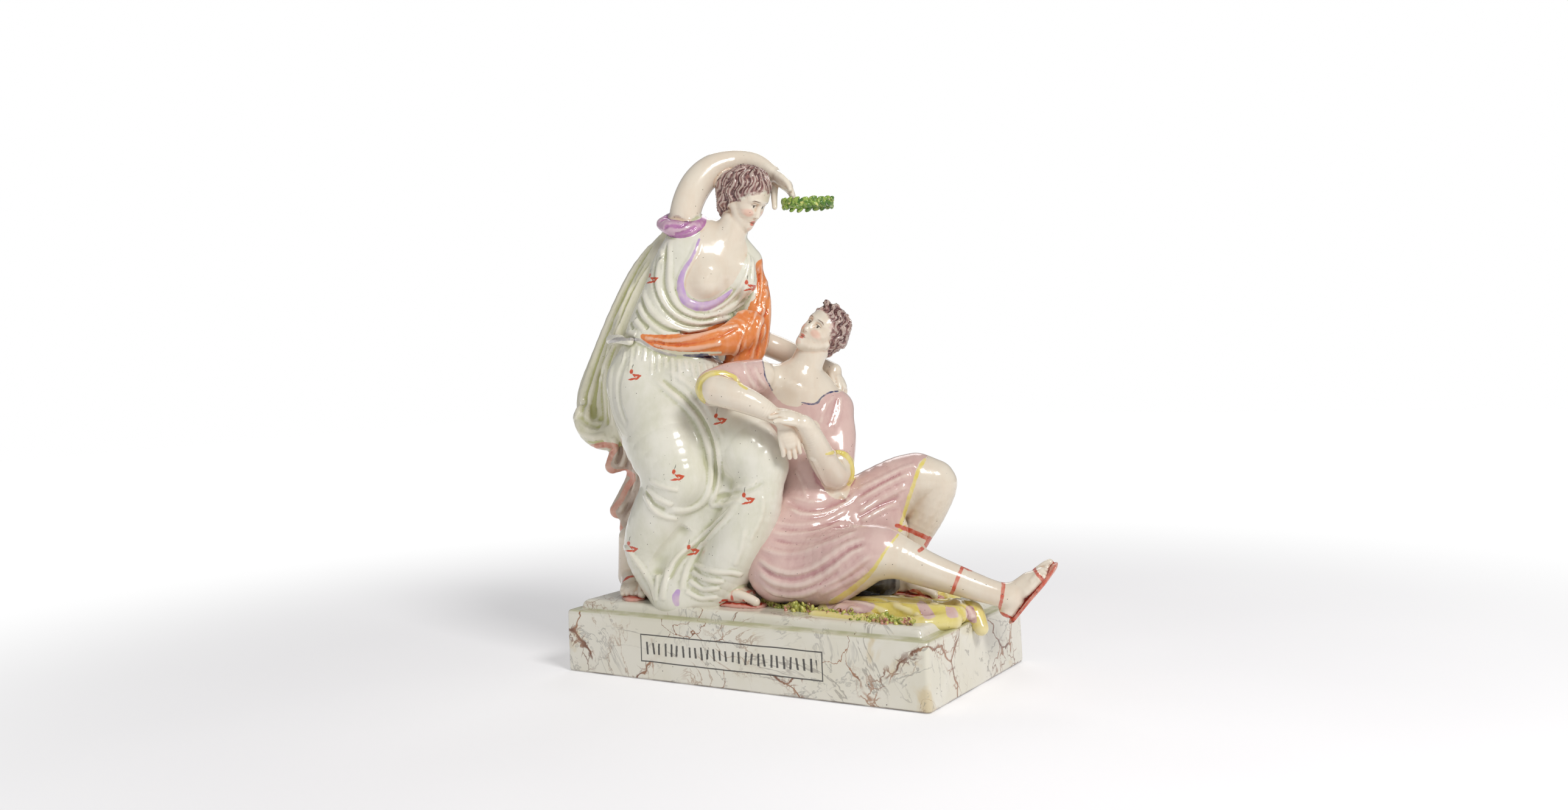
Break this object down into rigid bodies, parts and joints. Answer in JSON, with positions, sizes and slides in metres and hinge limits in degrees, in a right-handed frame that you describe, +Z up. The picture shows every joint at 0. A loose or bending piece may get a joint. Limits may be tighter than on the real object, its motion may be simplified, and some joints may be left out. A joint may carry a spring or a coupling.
{
  "type": "pottery figure group",
  "caption": "Glazed pottery group on a marbled rectangular plinth: a cloaked lady in a sprigged dress lifts a wreath over a reclining youth in a tunic.",
  "frame": {"origin": "middle of the plinth's underside", "axes": "+Z up, +X along the plinth's long front to the right, +Y to the back"},
  "size_m": [0.3264, 0.1424, 0.3376],
  "materials": {
    "marbled_glaze": "cream glaze painted with brown and grey marble veins, a pooled pale green line under the slab",
    "figure_glaze": "glossy cream glaze over painted enamels: orange, yellow, dusty pink, navy, lilac and green"
  },
  "bodies": {
    "root": {"plinth": "marbled_glaze", "figure_group": "figure_glaze"}
  },
  "joints": []
}
